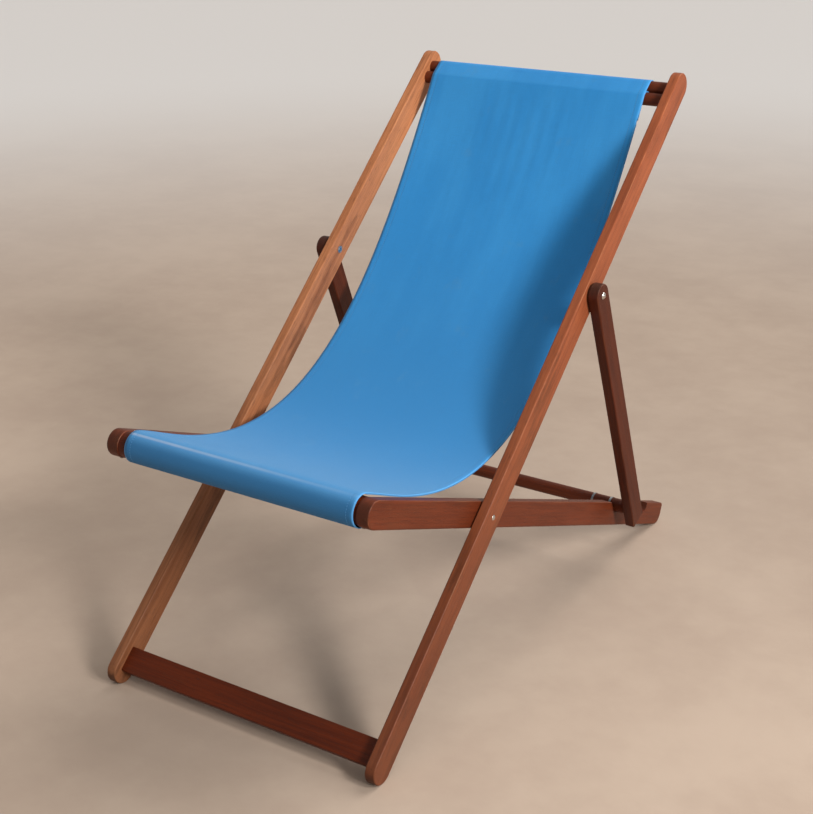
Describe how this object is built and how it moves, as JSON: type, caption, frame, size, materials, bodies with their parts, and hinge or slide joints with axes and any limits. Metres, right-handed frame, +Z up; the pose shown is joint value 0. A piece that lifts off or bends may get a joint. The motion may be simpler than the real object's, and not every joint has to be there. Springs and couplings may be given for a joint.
{
  "type": "folding deck chair",
  "caption": "Folding wooden deck chair: a back frame and a seat frame cross on rivets, a notched prop holds the recline, and a canvas sling hangs between them.",
  "frame": {"origin": "on the floor, under the middle of the chair's overall box, with the chair set up at its lowest recline", "axes": "+X to the sitter's left hand (the right-hand side seen from the front), +Y to the rear, +Z up"},
  "size_m": [0.5856, 1.0701, 0.9107],
  "materials": {
    "back_rail_wood": "satin varnish, worn pale along the arrises",
    "seat_rail_wood": "satin varnish, red-brown",
    "prop_wood": "satin varnish, dark red-brown",
    "bar_wood": "satin varnish, turned",
    "stretcher_wood": "satin varnish",
    "dowel_wood": "satin varnish, turned",
    "front_bar_wood": "satin varnish",
    "rivet_steel": "bright, slightly dulled",
    "washer_steel": "dull zinc",
    "nail_steel": "dull, slightly rusted",
    "band_steel": "thin grey metal strip",
    "sling_canvas": "plain-woven cotton canvas, matt"
  },
  "bodies": {
    "back_frame": {"back_rail_left": "back_rail_wood", "back_rail_right": "back_rail_wood", "foot_stretcher": "stretcher_wood", "top_dowel_upper": "dowel_wood", "top_dowel_lower": "dowel_wood", "prop_rivet_left": "rivet_steel", "prop_rivet_right": "rivet_steel", "prop_washer_left": "washer_steel", "prop_washer_right": "washer_steel", "prop_burr_left": "washer_steel", "prop_burr_right": "washer_steel", "pivot_rivet_left": "rivet_steel", "pivot_rivet_right": "rivet_steel", "pivot_washer_left": "washer_steel", "pivot_washer_right": "washer_steel", "pivot_burr_left": "washer_steel", "pivot_burr_right": "washer_steel", "back_frame_nails": "nail_steel", "sling": "sling_canvas"},
    "seat_frame": {"seat_rail_left": "seat_rail_wood", "seat_rail_right": "seat_rail_wood", "front_bar": "front_bar_wood", "seat_frame_nails": "nail_steel", "sling_tacks": "nail_steel"},
    "prop_frame": {"prop_strut_left": "prop_wood", "prop_strut_right": "prop_wood", "prop_bar": "bar_wood", "prop_bar_bands": "band_steel", "prop_nails": "nail_steel"}
  },
  "joints": [
    {"name": "seat_fold", "type": "hinge", "parent": "back_frame", "child": "seat_frame", "pos_m": [0, -0.19378, 0.30794], "axis": [-1, 0, 0], "range_deg": [0, 111.01], "deforming": ["sling"]},
    {"name": "prop_swing", "type": "hinge", "parent": "back_frame", "child": "prop_frame", "pos_m": [0, 0.12365, 0.59205], "axis": [-1, 0, 0], "range_deg": [0, 64.89]}
  ],
  "couplings": [
    {"joint": "prop_swing", "follows": "seat_fold", "ratio": 0.5845}
  ]
}
